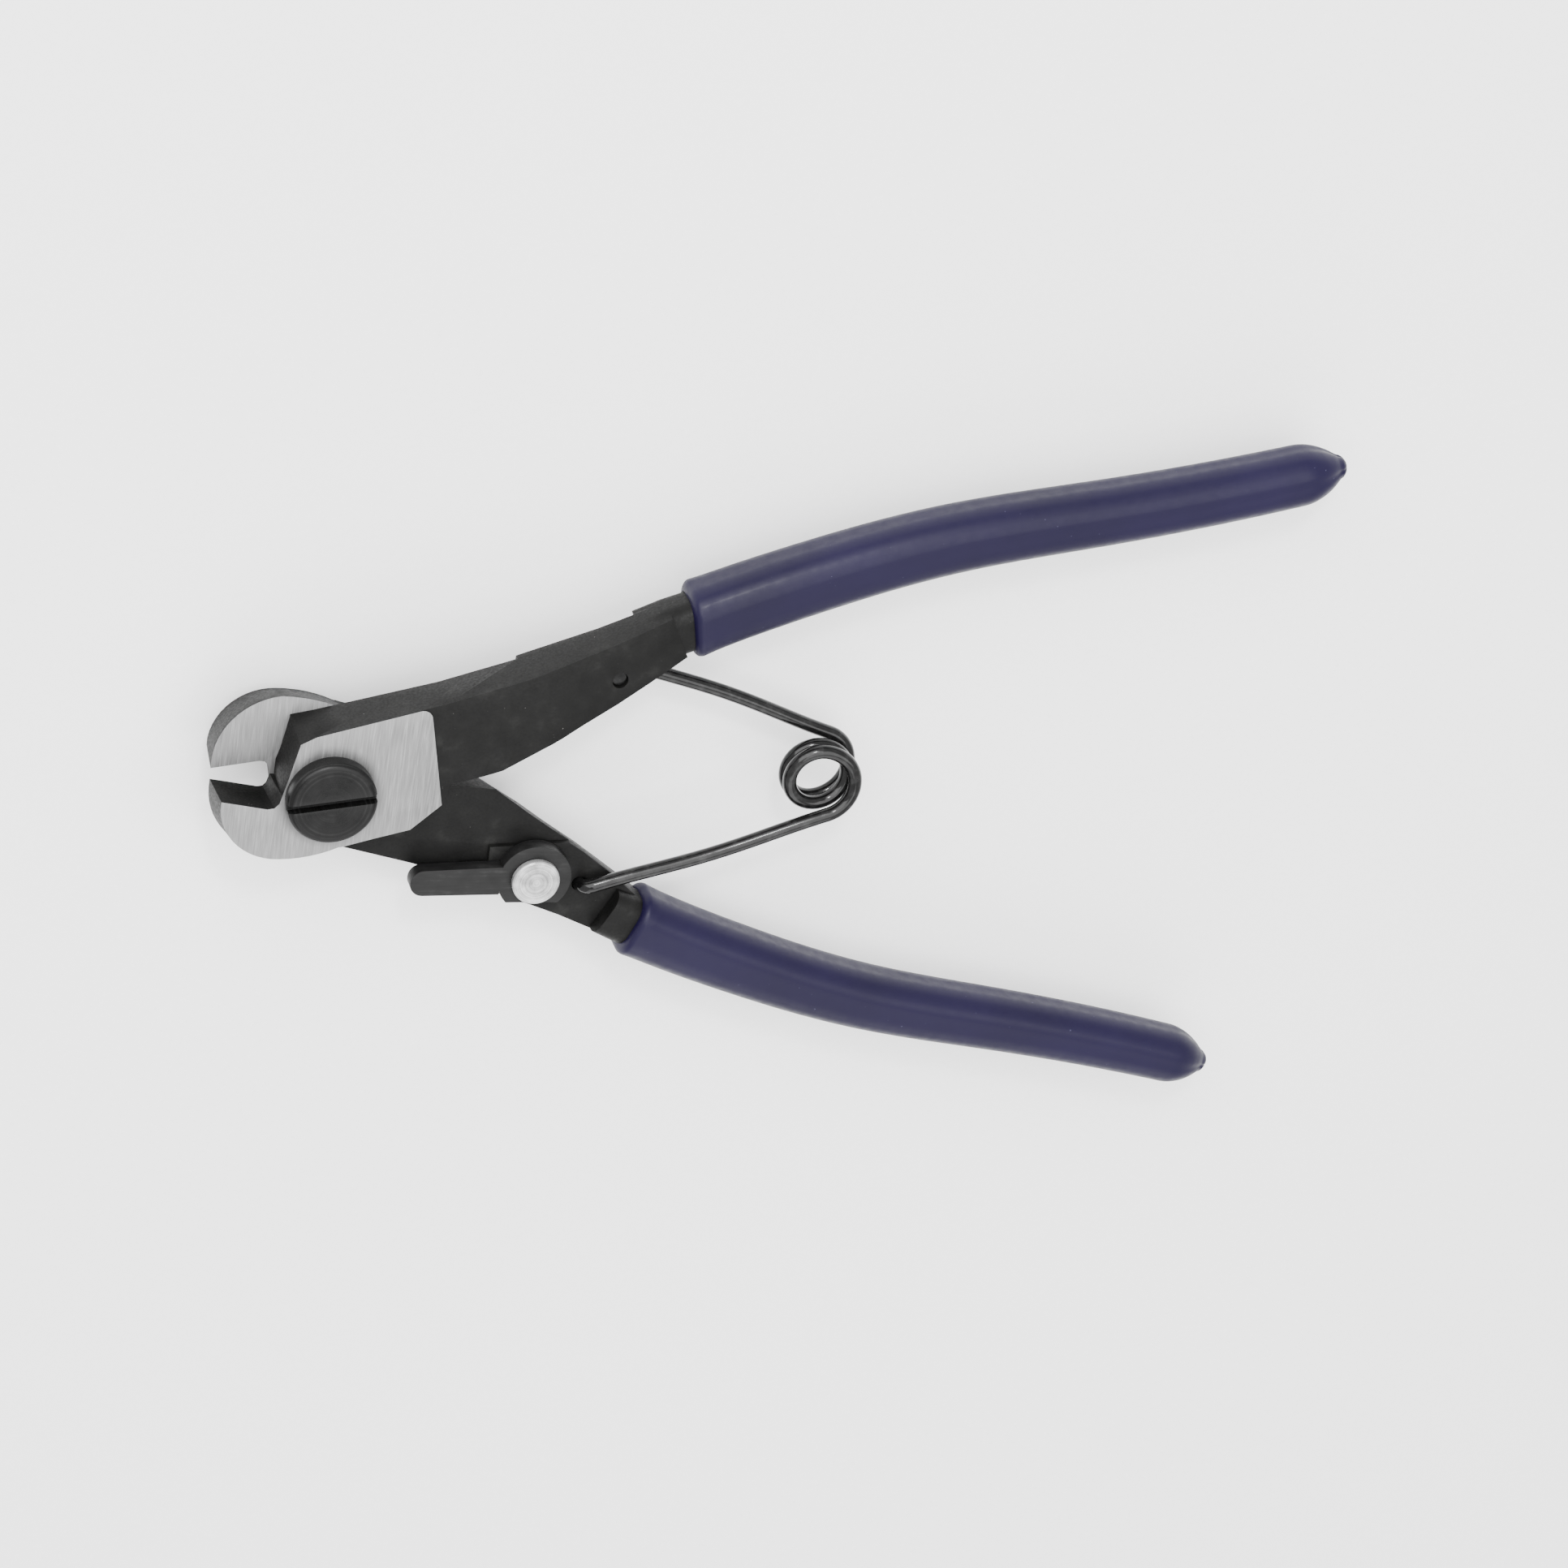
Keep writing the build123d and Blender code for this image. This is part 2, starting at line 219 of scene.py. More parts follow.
world = bpy.data.worlds.new("studio")
world.use_nodes = True
world.node_tree.nodes["Background"].inputs["Color"].default_value = (1, 1, 1, 1)
world.node_tree.nodes["Background"].inputs["Strength"].default_value = 1.5
bpy.context.scene.world = world

# name, watts, square size, place, all aimed at the middle of the tool
LAMPS = [
    ("key_softbox", 16.0, 0.9, (-0.35, 0.55, 0.75)),
    ("top_softbox", 9.0, 0.8, (0.25, 0.1, 0.95)),
    ("front_fill", 4.0, 0.7, (0.15, -0.7, 0.55)),
    ("glint", 4.0, 0.1, (-0.1, 0.62, 0.7)),
]
middle = (cad_low + cad_high) / 2
for name, watts, size, place in LAMPS:
    lamp = bpy.data.lights.new(name, "AREA")
    lamp.energy = watts
    lamp.size = size
    holder = bpy.data.objects.new(name, lamp)
    bpy.context.scene.collection.objects.link(holder)
    holder.location = place
    holder.rotation_mode = "QUATERNION"
    holder.rotation_quaternion = (middle - Vector(place)).to_track_quat("-Z", "Y")
print("lamps:", [lamp[0] for lamp in LAMPS])


# %% Softened copies
def link_piece(name, mesh, material):
    """A named object at the origin that carries a mesh and one material."""
    piece = bpy.data.objects.new(name, mesh)
    bpy.context.scene.collection.objects.link(piece)
    mesh.materials.clear()
    mesh.materials.append(material)
    return piece


def shade_by_angle(mesh, degrees):
    mesh.shade_smooth()
    mesh.set_sharp_from_angle(angle=math.radians(degrees))


def bake_modifiers(piece):
    """The piece's modifiers become its mesh."""
    depsgraph = bpy.context.evaluated_depsgraph_get()
    finished = bpy.data.meshes.new_from_object(piece.evaluated_get(depsgraph))
    piece.modifiers.clear()
    piece.data = finished
    return piece


WELD = 0.003 * MM  # loose corners this close are one
FLAT_ANGLE = 0.6  # degrees, as are the next two
CORNER_ANGLE = 27
STEEL_SMOOTH = 35
CORNER_MARK = "rounded_corner"  # face attribute, 1 on the corners that the bevel made


def softened_copy(node, name, material, edge, segments=3):
    """A piece with the CAD node's shape whose corners are rounded by an edge width in mm."""
    mesh = frame["nodes"][node].data.copy()
    work = bmesh.new()
    work.from_mesh(mesh)
    bmesh.ops.remove_doubles(work, verts=work.verts, dist=WELD)
    bmesh.ops.dissolve_limit(work, angle_limit=math.radians(FLAT_ANGLE), verts=work.verts, edges=work.edges)
    work.to_mesh(mesh)
    work.free()
    piece = link_piece(name, mesh, material)
    bevel = piece.modifiers.new("corners", "BEVEL")
    bevel.width = edge * MM
    bevel.segments = segments
    bevel.limit_method = "ANGLE"
    bevel.angle_limit = math.radians(CORNER_ANGLE)
    bevel.miter_outer = "MITER_ARC"
    mesh.materials.append(material)  # a second slot, only to find the rounded corners again
    bevel.material = 1
    bake_modifiers(piece)
    mesh = piece.data
    marks = np.zeros(len(mesh.polygons), dtype=np.int32)
    mesh.polygons.foreach_get("material_index", marks)
    mesh.attributes.new(CORNER_MARK, "FLOAT", "FACE").data.foreach_set("value", marks.astype(np.float32))
    mesh.polygons.foreach_set("material_index", np.zeros_like(marks))
    mesh.materials.pop(index=1)
    shade_by_angle(mesh, STEEL_SMOOTH)
    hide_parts(node)
    print(name, "faces:", len(mesh.polygons), "on rounded corners:", int(marks.sum()))
    return piece


print("corners that turn more than", CORNER_ANGLE, "degrees are rounded")

# %% [markdown]
# ## Blackened forging with ground faces
# Each lever is a drop forging that was blackened all over, and afterwards ground bright where it rubs: on the
# boss under the screw head and on the faces that slide on each other. One material can do both. It asks how
# high a point lies and whether its face looks along the pivot, and mixes the bright finish in there. The fine
# lines are noise stretched a long way along Y, which is the way that the grinding wheel travelled.

# %% Which faces are ground
LAP = 7.0 * MM
BOSS = 0.25 * MM
RUBBED_DEPTH = 0.3 * MM  # a rubbed face lies this near to the height where the levers meet
RUBBED_REACH = 1.0 * MM  # and on the jaw's side of this X
LEVEL_SHARE = 0.9  # a level face's normal points this much along the pivot


def ground_faces(tree, point):
    """1 on the boss's outer face and on the faces that rub together, 0 on the rest of the forging."""
    place = add_node(tree, "ShaderNodeSeparateXYZ", {0: point})
    normal = add_node(tree, "ShaderNodeTexCoord").outputs["Normal"]
    facing = add_node(tree, "ShaderNodeSeparateXYZ", {0: normal})
    level = math_node(tree, "GREATER_THAN", math_node(tree, "ABSOLUTE", facing.outputs["Z"]), LEVEL_SHARE)
    depth = math_node(tree, "ABSOLUTE", math_node(tree, "SUBTRACT", place.outputs["Z"], SHEAR))
    on_boss = math_node(tree, "GREATER_THAN", depth, LAP + BOSS / 2)
    near_shear = math_node(tree, "LESS_THAN", depth, RUBBED_DEPTH)
    near_pivot = math_node(tree, "LESS_THAN", place.outputs["X"], RUBBED_REACH)
    rubbed = math_node(tree, "MULTIPLY", near_shear, near_pivot)
    return math_node(tree, "MULTIPLY", math_node(tree, "MAXIMUM", on_boss, rubbed), level)


print("lap", round(LAP / MM, 2), "mm, boss", BOSS / MM, "mm")

# %% Forged steel
BLACK_FINISH = [(0.3, (0.0022, 0.0022, 0.0021)), (0.6, (0.0045, 0.0045, 0.0043)), (0.8, (0.013, 0.013, 0.0124))]
GROUND_FINISH = [(0.25, 0.15), (0.55, 0.21), (0.8, 0.3)]
SCUFF = (0.09, 0.088, 0.085, 1)
# The ground boss is painted darker round the screw head: painted shade for the head's contact shadow and its
# dark reflection.
SCREW_SHADE_REACH = 9.2 * MM  # painted shade reaches this far from the pivot, out from under the screw head
SCREW_SHADE_CORE = 6.9 * MM
SCREW_SHADE = (0.05, 0.05, 0.05, 1)
SCREW_SHADE_LEAST = 0.45  # share of the unshaded ground colour that still shows next to the screw head, under the painted shade

forged_steel, forged_tree, forged_shader = new_material("forged_steel", Specular_IOR_Level=0.12)
point = object_point(forged_tree)
ground = ground_faces(forged_tree, point)
cloud = stretched_noise(forged_tree, point, EVEN, 260.0, 8.0)
grain = stretched_noise(forged_tree, point, EVEN, 2600.0, 3.0)
lines = stretched_noise(forged_tree, point, (1.0, 0.05, 1.0), 4200.0, 4.0)
corner = add_node(forged_tree, "ShaderNodeAttribute", attribute_name=CORNER_MARK).outputs["Fac"]
chip = ramp(forged_tree, stretched_noise(forged_tree, point, EVEN, 800.0, 6.0), [(0.5, 0.08), (0.68, 1.0)])
nick = ramp(forged_tree, stretched_noise(forged_tree, point, EVEN, 1900.0, 2.0), [(0.77, 0.0), (0.8, 1.0)])
scuffed = math_node(forged_tree, "MAXIMUM", math_node(forged_tree, "MULTIPLY", corner, chip), nick)
black = mix_colour(forged_tree, scuffed, ramp(forged_tree, cloud, BLACK_FINISH), SCUFF)
# painted shade: the ground colour darkens towards the screw head, by distance from the pivot
centre_offset = add_node(forged_tree, "ShaderNodeVectorMath", {0: point, 1: (1, 1, 0)}, operation="MULTIPLY")
from_pivot = add_node(forged_tree, "ShaderNodeVectorMath", {0: centre_offset.outputs[0]}, operation="LENGTH")
screw_shade = add_node(
    forged_tree, "ShaderNodeMapRange",
    {
        "Value": from_pivot.outputs["Value"], "From Min": SCREW_SHADE_CORE, "From Max": SCREW_SHADE_REACH,
        "To Min": SCREW_SHADE_LEAST,
    },
    interpolation_type="SMOOTHSTEP",
)
unshaded_ground = ramp(forged_tree, lines, GROUND_FINISH)
bright = mix_colour(forged_tree, screw_shade.outputs[0], SCREW_SHADE, unshaded_ground)
forged_tree.links.new(mix_colour(forged_tree, ground, black, bright), forged_shader.inputs["Base Color"])
black_rough = ramp(forged_tree, grain, [(0.3, 0.42), (0.7, 0.62)])
bright_rough = ramp(forged_tree, lines, [(0.3, 0.3), (0.7, 0.5)])
roughness = mix_colour(forged_tree, ground, black_rough, bright_rough)
forged_tree.links.new(roughness, forged_shader.inputs["Roughness"])
forged_tree.links.new(math_node(forged_tree, "MULTIPLY", ground, 0.5), forged_shader.inputs["Metallic"])
relief = mix_colour(forged_tree, ground, grain, lines)
bump(forged_tree, forged_shader, relief, 0.6, 0.03 * MM)
print("forged steel:", len(forged_tree.nodes), "nodes")

# %% [markdown]
# ## The two levers
# The engineering model has true corners, and a real forging has none: every edge is rounded by the die or
# knocked off by tumbling. A Bevel modifier on a copy of each lever does that. The copy is merged first,
# because the loaded mesh is loose triangles, and coplanar triangles are dissolved so that the bevel only meets
# real corners. Modelling the levers again by hand would risk moving their faces.

# %% Levers
FORGING_EDGE = 0.3  # width of the rounded corners, mm
for node, piece_name, body in (
    ("front_lever", "front_lever_forging", "front_half"),
    ("rear_lever", "rear_lever_forging", "rear_half"),
):
    lever = softened_copy(node, piece_name, forged_steel, FORGING_EDGE)
    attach(lever, body)

# %% [markdown]
# ## Turned parts
# The screw head, its nut and the rivet came off a lathe, which leaves rings round the axis. A turned finish
# takes the distance from the axis and feeds it to a noise texture in one dimension, so each ring has its own
# depth and shade. The screw and the nut are blackened afterwards and the rivet is zinc plated.


# %% Turned finishes
def turned_finish(name, centre, shades, ring_scale, ring_depth, rough, **shader_values):
    """A material with lathe rings round a vertical axis at a centre."""
    material, tree, shader = new_material(name, **shader_values)
    place = object_point(tree)
    offset = add_node(tree, "ShaderNodeVectorMath", {0: place, 1: (*centre, 0)}, operation="SUBTRACT")
    parts = add_node(tree, "ShaderNodeSeparateXYZ", {0: offset.outputs[0]})
    squares = [math_node(tree, "POWER", math_node(tree, "ABSOLUTE", parts.outputs[axis]), 2.0) for axis in "XY"]
    distance = math_node(tree, "SQRT", math_node(tree, "ADD", *squares))
    rings = add_node(
        tree, "ShaderNodeTexNoise", {"W": distance, "Scale": ring_scale, "Detail": 2.0}, noise_dimensions="1D"
    )
    cloud = stretched_noise(tree, place, EVEN, 500.0, 6.0)
    half_rings = math_node(tree, "MULTIPLY", rings.outputs["Fac"], 0.5)
    mixed = math_node(tree, "ADD", half_rings, math_node(tree, "MULTIPLY", cloud, 0.5))
    tree.links.new(ramp(tree, mixed, shades), shader.inputs["Base Color"])
    tree.links.new(ramp(tree, cloud, [(0.3, rough - 0.07), (0.7, rough + 0.1)]), shader.inputs["Roughness"])
    bump(tree, shader, rings.outputs["Fac"], 0.5, ring_depth)
    return material


LATCH_CENTRE = joints["latch_pivot"]["pos_m"][:2]
turned_black = turned_finish(
    "turned_black_steel", (0, 0), [(0.35, 0.002), (0.55, 0.004), (0.7, 0.01)], 2600.0, 0.015 * MM, 0.3,
    Specular_IOR_Level=0.16,
)
turned_zinc = turned_finish(
    "turned_zinc", LATCH_CENTRE, [(0.38, 0.22), (0.5, 0.38), (0.62, 0.58)], 3000.0, 0.03 * MM, 0.28, Metallic=0.6
)
print("turned finishes ready, latch pivot at", [round(c / MM, 1) for c in LATCH_CENTRE])

# %% Screw, nut and rivet
for node, piece_name, material, edge, slot in (
    ("pivot_screw", "slotted_pivot_screw", turned_black, 0.18, "dark_fastener"),
    ("pivot_nut", "hexagon_pivot_nut", turned_black, 0.22, "dark_fastener"),
    ("latch_rivet", "latch_rivet_plated", turned_zinc, 0.18, "bright_rivet"),
):
    body = frame["nodes"][node]["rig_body"]
    turned = softened_copy(node, piece_name, material, edge)
    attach(turned, body)

# %% [markdown]
# ## Latch
# The latch is punched from strip and tumbled, so its outline is crisp but its corners are soft, and its faces
# carry a faint rolled grain along the strip. Its blackening is a little thinner than the forging's, so it
# looks a shade lighter.

# %% Latch
STRIP_EDGE = 0.3  # mm
strip_steel, strip_tree, strip_shader = new_material("blackened_strip", Specular_IOR_Level=0.16)
point = object_point(strip_tree)
rolled = stretched_noise(strip_tree, point, (0.08, 1.0, 1.0), 2600.0, 4.0)
patch = stretched_noise(strip_tree, point, EVEN, 420.0, 6.0)
rolled_part = math_node(strip_tree, "MULTIPLY", rolled, 0.4)
shade = math_node(strip_tree, "ADD", rolled_part, math_node(strip_tree, "MULTIPLY", patch, 0.6))
strip_tree.links.new(
    ramp(strip_tree, shade, [(0.3, 0.006), (0.55, 0.01), (0.72, 0.022)]), strip_shader.inputs["Base Color"]
)
strip_tree.links.new(ramp(strip_tree, patch, [(0.3, 0.36), (0.7, 0.55)]), strip_shader.inputs["Roughness"])
bump(strip_tree, strip_shader, rolled, 0.3, 0.015 * MM)
latch = softened_copy("latch_lever", "latch_strip", strip_steel, STRIP_EDGE)
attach(latch, "latch")

# %% [markdown]
# ## Dipped sleeves
# The handles were dipped in liquid plastic, hung up and cured. That leaves a skin with no seam, a rolled lip
# where the dip line was, and a small point at the end where the last drop set. A box with a bevel can't show
# any of that, so the sleeve is made of rings that stand square to the handle's centre line. Each ring is a
# rounded rectangle, and rules give its size: it tapers along the handle, swells at the lip and closes at the
# tip. The front sleeve was dipped at a slant, so its lip lies further up the handle on one side.

# %% Centre line of a handle
HANDLE_POINTS = [
    (46.0, 22.7), (54.5, 27.0), (72.3, 34.5), (96.5, 42.5), (120.7, 47.5), (145.6, 52.9), (162.3, 57.2),
]
LINE_STEPS = 600


def smooth_line(points, steps):
    """Natural cubic spline through plan points: places, headings and distances along it, in mm."""
    knots = np.array(points)
    spans = np.linalg.norm(np.diff(knots, axis=0), axis=1)
    at = np.concatenate([[0], np.cumsum(spans)])
    count = len(points)
    system = np.eye(count)
    right_side = np.zeros((count, 2))
    for i in range(1, count - 1):
        system[i, i - 1 : i + 2] = spans[i - 1], 2 * (spans[i - 1] + spans[i]), spans[i]
        slopes = np.diff(knots[i - 1 : i + 2], axis=0) / spans[i - 1 : i + 1, None]
        right_side[i] = 6 * (slopes[1] - slopes[0])
    second = np.linalg.solve(system, right_side)
    t = np.linspace(0, at[-1], steps)
    i = np.clip(np.searchsorted(at, t, side="right") - 1, 0, count - 2)
    before, after, span = (t - at[i])[:, None], (at[i + 1] - t)[:, None], spans[i][:, None]
    places = (second[i] * after**3 + second[i + 1] * before**3) / (6 * span)
    places += (knots[i] / span - second[i] * span / 6) * after
    places += (knots[i + 1] / span - second[i + 1] * span / 6) * before
    headings = np.gradient(places, axis=0)
    headings /= np.linalg.norm(headings, axis=1)[:, None]
    distances = np.concatenate([[0], np.cumsum(np.linalg.norm(np.diff(places, axis=0), axis=1))])
    return places, headings, distances


line_places, line_headings, line_distances = smooth_line(HANDLE_POINTS, LINE_STEPS)
HANDLE_LENGTH = line_distances[-1]
print("handle centre line in mm:", round(HANDLE_LENGTH, 1))


# %% Rings of a sleeve
def along_line(distance):
    place = [np.interp(distance, line_distances, line_places[:, axis]) for axis in (0, 1)]
    heading = [np.interp(distance, line_distances, line_headings[:, axis]) for axis in (0, 1)]
    return np.array(place), np.array(heading)


GRIP_START = (11.3, 10.6, 4.0)  # width, thickness and corner radius at the line's start, mm
GRIP_END = (9.3, 9.3, 3.8)
CORNER_STEPS = 9
FLAT_STEPS = 3
CROWN = 0.16  # sets how far the sides dip beside the corners, a quarter of this on the widest ring, mm
QUARTERS = ((1, 1), (-1, 1), (-1, -1), (1, -1))
ROUND_LIMIT = 0.499  # the corner radius is at most this share of a side


def ring_outline(width, thickness, corner):
    """Rounded rectangle whose sides dip slightly beside the corners, as sideways and upward offsets."""
    corner = min(corner, ROUND_LIMIT * width, ROUND_LIMIT * thickness)
    outline = []
    for quarter, (side, rise) in enumerate(QUARTERS):
        centre = np.array((side * (width / 2 - corner), rise * (thickness / 2 - corner)))
        for step in range(CORNER_STEPS):
            angle = math.radians(90 * (quarter + step / (CORNER_STEPS - 1)))
            outline.append(centre + corner * np.array((math.cos(angle), math.sin(angle))))
        next_side, next_rise = QUARTERS[(quarter + 1) % 4]
        next_centre = np.array((next_side * (width / 2 - corner), next_rise * (thickness / 2 - corner)))
        angle = math.radians(90 * (quarter + 1))
        outward = np.array((math.cos(angle), math.sin(angle)))
        for step in range(1, FLAT_STEPS + 1):
            share = step / (FLAT_STEPS + 1)
            bulge = CROWN * 4 * share * (1 - share) * min(1.0, width / GRIP_START[0])
            outline.append(centre * (1 - share) + next_centre * share + outward * (corner + bulge - CROWN))
    return np.array(outline)


print("points in a ring:", len(ring_outline(*GRIP_START)))

# %% Sleeve mesh
FRONT_START, REAR_START = 12.1, 8.8  # where the sleeves begin along the line; every length here is in mm
FRONT_SLANT, REAR_SLANT = 2.6, 0.8  # how far the lip leans back on its inner side
SLANT_FADE = 14.0  # the slant dies out over this length
WALL = 1.3
CORNER_SHRINK = 0.9  # loss of corner radius for each mm of inset
LIP_LENGTH = 1.1
LIP_SWELL = 0.14
SWELL_FADE = 1.6
LIP_RINGS = 7
BODY_STEP = 1.5
TIP_LENGTH = 8.2  # the closed end
TIP_SHORT = 0.15  # kept inside the end of the line
TIP_TAPER = 1.85
TIP_FULLNESS = 0.74
TIP_RINGS = 16
TIP_CLOSE = 0.015  # share of the full size at which the tip is closed
NOSE_START = 0.8  # share of the tip where the blunt nose takes over from the cone
NOSE_SIZE = 0.42
INNER_END = 3.0  # plastic beyond the end of the inside wall
INNER_RINGS = 24
INNER_CAP = ((2.4, 0.02), (2.0, 0.6))  # beyond the inside wall's last full ring, and the share of its size
SLEEVE_SMOOTH = 60  # degrees


def section_at(distance, inset):
    share = distance / HANDLE_LENGTH
    width, thickness, corner = (a + (b - a) * share for a, b in zip(GRIP_START, GRIP_END))
    return np.array((width - 2 * inset, thickness - 2 * inset, corner - CORNER_SHRINK * inset))


def sleeve_stations(start):
    """Distance, inset and scale of every ring, from inside the lip round it and on to the tip."""
    stations = []
    for i in range(LIP_RINGS):
        turn = math.pi / 2 * i / (LIP_RINGS - 1)
        inset = WALL * (1 - math.sin(turn)) - LIP_SWELL * math.sin(turn)
        stations.append((start + LIP_LENGTH * (1 - math.cos(turn)), inset, 1))
    body_start, body_end = start + LIP_LENGTH, HANDLE_LENGTH - TIP_LENGTH - TIP_SHORT
    count = round((body_end - body_start) / BODY_STEP)
    for i in range(1, count + 1):
        distance = body_start + i / count * (body_end - body_start)
        stations.append((distance, -LIP_SWELL * math.exp(-(distance - body_start) / SWELL_FADE), 1))
    for i in range(1, TIP_RINGS + 1):
        share = math.sin(math.pi / 2 * i / TIP_RINGS)
        cone = max(0.0, 1 - share**TIP_TAPER) ** TIP_FULLNESS
        nose = 0.0
        if share > NOSE_START:
            nose = NOSE_SIZE * max(0.0, 1 - ((share - NOSE_START) / (1 - NOSE_START)) ** 2) ** 0.5
        stations.append((body_end + share * TIP_LENGTH, 0, max(cone, nose, TIP_CLOSE)))
    return stations


def inner_stations(start):
    """The same for the inside wall, from its closed end back to the lip."""
    end = HANDLE_LENGTH - INNER_END - TIP_LENGTH / 2
    cap = [(end + beyond, WALL, scale) for beyond, scale in INNER_CAP]
    return cap + [(end + i / INNER_RINGS * (start - end), WALL, 1) for i in range(INNER_RINGS)]


def sleeve_mesh(name, start, slant, turned_over):
    """A closed skin with an inside wall. The rear sleeve is the front one turned over about X."""
    stations = inner_stations(start) + sleeve_stations(start)
    points, faces = [], []
    for distance, inset, scale in stations:
        outline = ring_outline(*(section_at(distance, inset) * scale))
        fade = max(0.0, 1 - (distance - start) / SLANT_FADE) ** 2
        for side, rise in outline:
            lean = slant * fade * (0.5 - side / GRIP_START[0])
            place, heading = along_line(distance - lean)
            across = np.array((-heading[1], heading[0]))
            plan = place + across * side
            points.append((plan[0], plan[1], rise))
    size = len(outline)
    for ring in range(len(stations) - 1):
        for i in range(size):
            j = (i + 1) % size
            low, high = ring * size, (ring + 1) * size
            faces.append((low + i, low + j, high + j, high + i))
    for ring, flip in ((0, True), (len(stations) - 1, False)):
        cap = list(range(ring * size, (ring + 1) * size))
        faces.append(cap[::-1] if flip else cap)
    mesh = bpy.data.meshes.new(name)
    mesh.from_pydata([tuple(value * MM for value in point) for point in points], [], faces)
    if turned_over:
        mesh.transform(Matrix.Rotation(math.pi, 4, "X"))
    mesh.transform(Matrix.Translation((0, 0, SHEAR)))
    work = bmesh.new()
    work.from_mesh(mesh)
    bmesh.ops.recalc_face_normals(work, faces=work.faces)
    work.to_mesh(mesh)
    work.free()
    shade_by_angle(mesh, SLEEVE_SMOOTH)
    return mesh


print("sleeve rings:", len(sleeve_stations(FRONT_START)))

# %% Dipped plastic
# painted highlight: pale bluish specks in the plastic's colour stand in for tiny glints on its skin
GLINT_SPECK_COLOUR = (0.12, 0.12, 0.2, 1)
dipped_plastic, dipped_tree, dipped_shader = new_material(
    "dipped_plastic", Specular_IOR_Level=0.15, Coat_Weight=0.03, Coat_Roughness=0.18
)
point = object_point(dipped_tree)
wash = stretched_noise(dipped_tree, point, EVEN, 45.0, 4.0)
skin = stretched_noise(dipped_tree, point, EVEN, 650.0, 3.0)
glint_noise = stretched_noise(dipped_tree, point, EVEN, 1500.0, 2.0)
indigo = ramp(dipped_tree, wash, [(0.3, (0.0042, 0.0026, 0.0155)), (0.7, (0.0064, 0.004, 0.0225))])
glint_speck = ramp(dipped_tree, glint_noise, [(0.76, 0.0), (0.8, 0.35)])
dipped_tree.links.new(mix_colour(dipped_tree, glint_speck, indigo, GLINT_SPECK_COLOUR), dipped_shader.inputs["Base Color"])
dipped_tree.links.new(ramp(dipped_tree, skin, [(0.3, 0.38), (0.7, 0.5)]), dipped_shader.inputs["Roughness"])
bump(dipped_tree, dipped_shader, skin, 0.22, 0.04 * MM)
print("dipped plastic ready")

# %% Sleeves
for piece_name, node, body, start, slant, turned_over in (
    ("front_dipped_sleeve", "front_handle_sleeve", "front_half", FRONT_START, FRONT_SLANT, False),
    ("rear_dipped_sleeve", "rear_handle_sleeve", "rear_half", REAR_START, REAR_SLANT, True),
):
    sleeve = link_piece(piece_name, sleeve_mesh(piece_name, start, slant, turned_over), dipped_plastic)
    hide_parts(node)
    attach(sleeve, body)
    print(piece_name, "faces:", len(sleeve.data.polygons))

# %% [markdown]
# ## Opening spring
# One length of wire hooks through a hole in each lever, runs to a coil between the handles and winds round it.
# It could be swept from a circle point by point, but Geometry Nodes have a node for just that: Curve to Mesh
# runs a round profile along any path. The wire is made as two pieces that meet in the middle of the coil. The
# first part of each arm bends from the lever to the arm, where the real wire gives way when the handles close.

# %% Wire sweep
WIRE_RADIUS = 1.15 * MM
WIRE_SIDES = 20
WIRE_SMOOTH = 50  # degrees


def wire_tree(material):
    """Geometry Nodes: a round wire swept along the edges of the incoming mesh."""
    tree = bpy.data.node_groups.new("round_wire", "GeometryNodeTree")
    socket = tree.interface.new_socket
    socket("Path", in_out="INPUT", socket_type="NodeSocketGeometry")
    sizes = {
        "Wire radius": socket("Wire radius", in_out="INPUT", socket_type="NodeSocketFloat").identifier,
        "Sides": socket("Sides", in_out="INPUT", socket_type="NodeSocketInt").identifier,
    }
    socket("Wire", in_out="OUTPUT", socket_type="NodeSocketGeometry")
    inputs = add_node(tree, "NodeGroupInput").outputs
    path = add_node(tree, "GeometryNodeMeshToCurve", {"Mesh": inputs["Path"]})
    circle = add_node(
        tree, "GeometryNodeCurvePrimitiveCircle",
        {"Radius": inputs["Wire radius"], "Resolution": inputs["Sides"]},
    )
    swept = add_node(
        tree, "GeometryNodeCurveToMesh",
        {"Curve": path.outputs[0], "Profile Curve": circle.outputs[0], "Fill Caps": True},
    )
    realized = add_node(tree, "GeometryNodeRealizeInstances", {"Geometry": swept.outputs[0]})
    coloured = add_node(tree, "GeometryNodeSetMaterial", {"Geometry": realized.outputs[0], "Material": material})
    output = add_node(tree, "NodeGroupOutput")
    tree.links.new(coloured.outputs[0], output.inputs[0])
    return tree, sizes


spring_steel, spring_tree, spring_shader = new_material(
    "drawn_spring_wire", Metallic=0.25, Specular_IOR_Level=0.32
)
point = object_point(spring_tree)
oil = stretched_noise(spring_tree, point, EVEN, 700.0, 5.0)
drawn = stretched_noise(spring_tree, point, (0.1, 0.3, 1.0), 5200.0, 3.0)
spring_tree.links.new(
    ramp(spring_tree, oil, [(0.35, 0.004), (0.55, 0.008), (0.75, 0.02)]), spring_shader.inputs["Base Color"]
)
spring_tree.links.new(ramp(spring_tree, oil, [(0.3, 0.07), (0.7, 0.15)]), spring_shader.inputs["Roughness"])
bump(spring_tree, spring_shader, drawn, 0.25, 0.01 * MM)
round_wire, wire_sizes = wire_tree(spring_steel)
print("wire inputs:", wire_sizes)

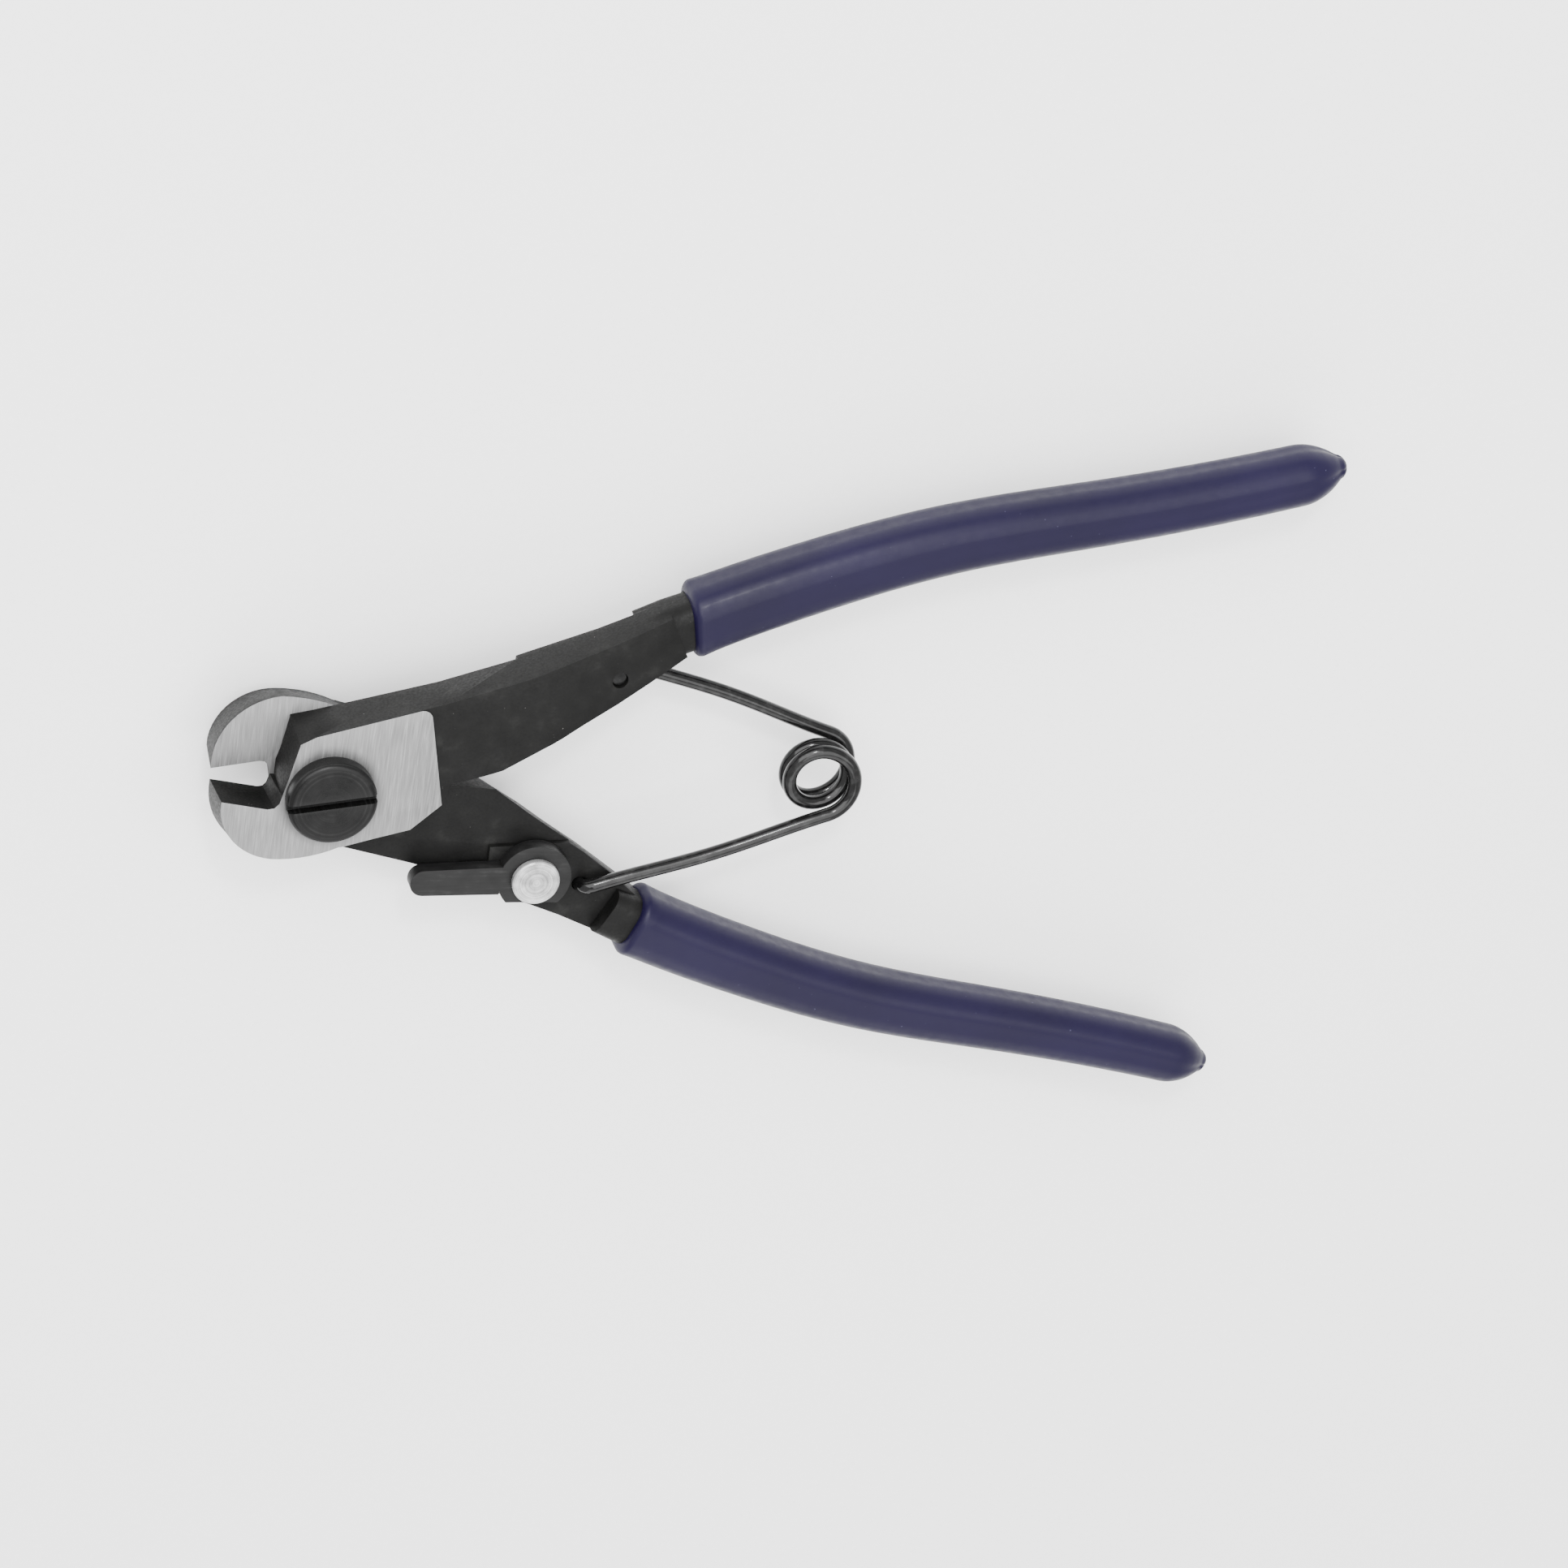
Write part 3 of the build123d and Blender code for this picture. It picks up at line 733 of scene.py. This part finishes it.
# %% Path of one spring half
HOLE = (44.3, 19.7)  # the hole in the front lever; every length here is in mm
COIL_CENTRE = (81.7, 0.0)
COIL_RADIUS = 5.0
ENTRY_RADIUS = 6.35  # the wire comes on to the coil a little wide
ARM_DEPTH = 2.8  # off the height where the levers meet
HOOK_LENGTH = 4.8
HOOK_BEND = 2.0
HOOK_BEND_STEPS = 9
ARM_BOW = 0.7
SETTLE = math.radians(150)  # how far round the coil it takes to settle on the coil's own radius
PATH_STEP = 0.35


def spring_half_path():
    """Points from the hook through the lever's hole, along the bowed arm and round half the coil, in mm."""
    reach = math.hypot(COIL_CENTRE[0] - HOLE[0], HOLE[1])
    dip = math.atan2(HOLE[1], COIL_CENTRE[0] - HOLE[0]) - math.asin(ENTRY_RADIUS / reach)
    heading = np.array((math.cos(dip), -math.sin(dip)))
    across = np.array((math.sin(dip), math.cos(dip)))
    length = math.sqrt(reach**2 - ENTRY_RADIUS**2)
    points = [(*HOLE, z) for z in np.arange(HOOK_LENGTH, -ARM_DEPTH + HOOK_BEND, -PATH_STEP)]
    for turn in np.linspace(0, math.pi / 2, HOOK_BEND_STEPS):
        plan = np.array(HOLE) + heading * HOOK_BEND * (1 - math.cos(turn))
        points.append((*plan, -ARM_DEPTH + HOOK_BEND * (1 - math.sin(turn))))
    for along in np.arange(HOOK_BEND + PATH_STEP, length, PATH_STEP):
        share = (along - HOOK_BEND) / (length - HOOK_BEND)
        plan = np.array(HOLE) + heading * along + across * ARM_BOW * math.sin(math.pi * share) ** 2
        points.append((*plan, -ARM_DEPTH))
    leave = math.pi / 2 - dip
    total = leave + 2 * math.pi
    for travelled in np.arange(0, total + 1e-6, total / round(total * COIL_RADIUS / PATH_STEP)):
        settled = min(1.0, travelled / SETTLE)
        settled = settled * settled * (3 - 2 * settled)
        radius = ENTRY_RADIUS + (COIL_RADIUS - ENTRY_RADIUS) * settled
        angle = leave - travelled
        climb = min(1.0, travelled / total)
        points.append((
            COIL_CENTRE[0] + radius * math.cos(angle), COIL_CENTRE[1] + radius * math.sin(angle),
            -ARM_DEPTH * (1 - climb),
        ))
    return points, heading


path_points, arm_heading = spring_half_path()
print("points along half the spring:", len(path_points))


def spring_half(name, node, flip):
    path = bpy.data.meshes.new(name)
    points = [(x * MM, flip * y * MM, SHEAR + flip * z * MM) for x, y, z in path_points]
    path.from_pydata(points, [(i, i + 1) for i in range(len(points) - 1)], [])
    piece = link_piece(name, path, spring_steel)
    sweep = piece.modifiers.new("wire", "NODES")
    sweep.node_group = round_wire
    sweep[wire_sizes["Wire radius"]] = WIRE_RADIUS
    sweep[wire_sizes["Sides"]] = WIRE_SIDES
    bake_modifiers(piece)
    work = bmesh.new()
    work.from_mesh(piece.data)
    bmesh.ops.remove_doubles(work, verts=work.verts, dist=WELD)
    bmesh.ops.recalc_face_normals(work, faces=work.faces)
    work.to_mesh(piece.data)
    work.free()
    shade_by_angle(piece.data, WIRE_SMOOTH)
    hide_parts(node)
    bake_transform(piece)
    print(name, "faces:", len(piece.data.polygons))


spring_half("rear_spring_wire", "spring_rear_arm", 1)
spring_half("front_spring_wire", "spring_front_arm", -1)
